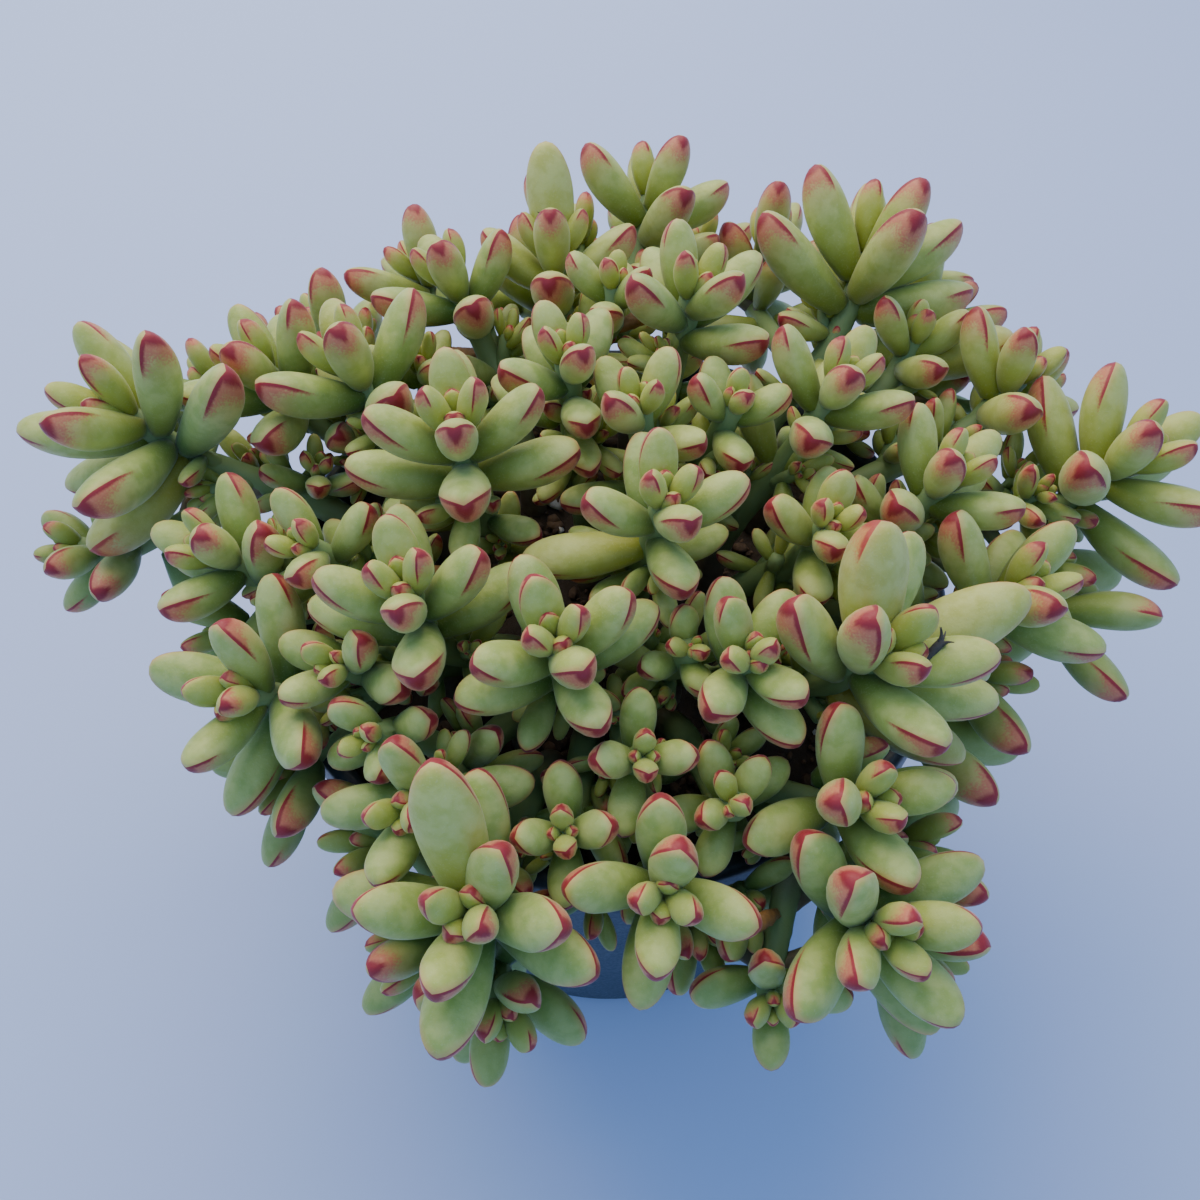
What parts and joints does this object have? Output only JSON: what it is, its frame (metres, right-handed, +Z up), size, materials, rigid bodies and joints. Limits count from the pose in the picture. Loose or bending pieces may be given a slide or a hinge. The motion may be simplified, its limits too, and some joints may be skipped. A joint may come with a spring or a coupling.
{
  "type": "potted crassula",
  "caption": "Dense mound of fat-leaved crassula shoots with red-tipped leaves in crossed pairs, grown in a plain round tapered nursery pot full of potting mix.",
  "frame": {"origin": "middle of the flat underside of the pot, on the surface that it stands on", "axes": "+Z up along the pot's axis; the plant's front, as pictured, faces -Y, and +X is to its right"},
  "size_m": [0.2408, 0.2074, 0.1733],
  "materials": {
    "pot_plastic": "moulded charcoal plastic with a soft sheen",
    "potting_mix": "crumbly dark compost with a few pale grains",
    "leaf": "waxy frosted green skin with crimson tips and margins"
  },
  "bodies": {
    "root": {"pot": "pot_plastic", "potting_mix": "potting_mix", "leafy_stem_01": "leaf", "leafy_stem_02": "leaf", "leafy_stem_03": "leaf", "leafy_stem_04": "leaf", "leafy_stem_05": "leaf", "leafy_stem_06": "leaf", "leafy_stem_07": "leaf", "leafy_stem_08": "leaf", "leafy_stem_09": "leaf", "leafy_stem_10": "leaf", "leafy_stem_11": "leaf", "leafy_stem_12": "leaf", "leafy_stem_13": "leaf", "leafy_stem_14": "leaf", "leafy_stem_15": "leaf", "leafy_stem_16": "leaf", "leafy_stem_17": "leaf", "leafy_stem_18": "leaf", "leafy_stem_19": "leaf", "leafy_stem_20": "leaf", "leafy_stem_21": "leaf", "leafy_stem_22": "leaf", "leafy_stem_23": "leaf", "leafy_stem_24": "leaf", "leafy_stem_25": "leaf", "leafy_stem_26": "leaf", "leafy_stem_27": "leaf", "leafy_stem_28": "leaf", "leafy_stem_29": "leaf", "leafy_stem_30": "leaf", "leafy_stem_31": "leaf", "leafy_stem_32": "leaf", "leafy_stem_33": "leaf", "leafy_stem_34": "leaf", "leafy_stem_35": "leaf", "leafy_stem_36": "leaf", "leafy_stem_37": "leaf"}
  },
  "joints": []
}
